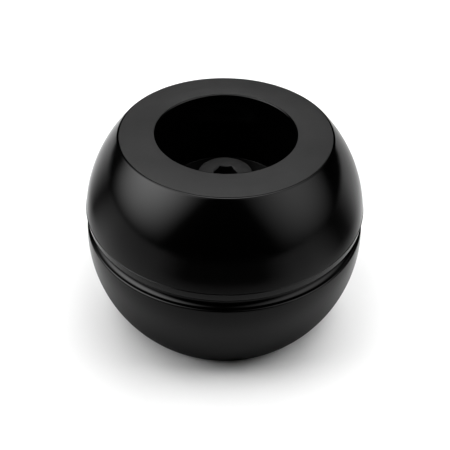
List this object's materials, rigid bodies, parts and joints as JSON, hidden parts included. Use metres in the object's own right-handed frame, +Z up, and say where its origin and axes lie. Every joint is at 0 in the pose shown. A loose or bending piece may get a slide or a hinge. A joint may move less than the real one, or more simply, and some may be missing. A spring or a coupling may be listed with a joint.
{
  "type": "case opening friction ball",
  "caption": "Ball-shaped hand tool with a soft friction ring round a deep pocket on its flat top, pressed on a watch's screwed case back and turned.",
  "frame": {"origin": "centre of the flat foot that the ball stands on", "axes": "+Z up the ball's axis, out of the pocket; two flats of the screw's hexagon socket are square to Y"},
  "size_m": [0.068, 0.068, 0.049],
  "materials": {
    "ball_plastic": "polished black",
    "friction_rubber": "matte, fine grain",
    "blackened_steel": "matte black oxide",
    "spring_steel": "plain",
    "insert_brass": "turned",
    "pin_steel": "ground"
  },
  "bodies": {
    "ball": {"upper_body": "ball_plastic", "lower_body": "ball_plastic", "friction_ring": "friction_rubber", "threaded_insert": "insert_brass", "dowel_pin_1": "pin_steel", "dowel_pin_2": "pin_steel"},
    "washer": {"lock_washer": "spring_steel"},
    "screw": {"clamp_screw": "blackened_steel"}
  },
  "joints": [
    {"name": "screw_rise", "type": "slide", "parent": "ball", "child": "washer", "axis": [0, 0, 1], "range_m": [0, 0.014]},
    {"name": "screw_turn", "type": "hinge", "parent": "washer", "child": "screw", "pos_m": [0, 0, 0.0324], "axis": [0, 0, 1], "range_deg": [0, 4032]}
  ],
  "couplings": [
    {"joint": "screw_rise", "follows": "screw_turn", "m_per_rad": 0.00019894}
  ]
}
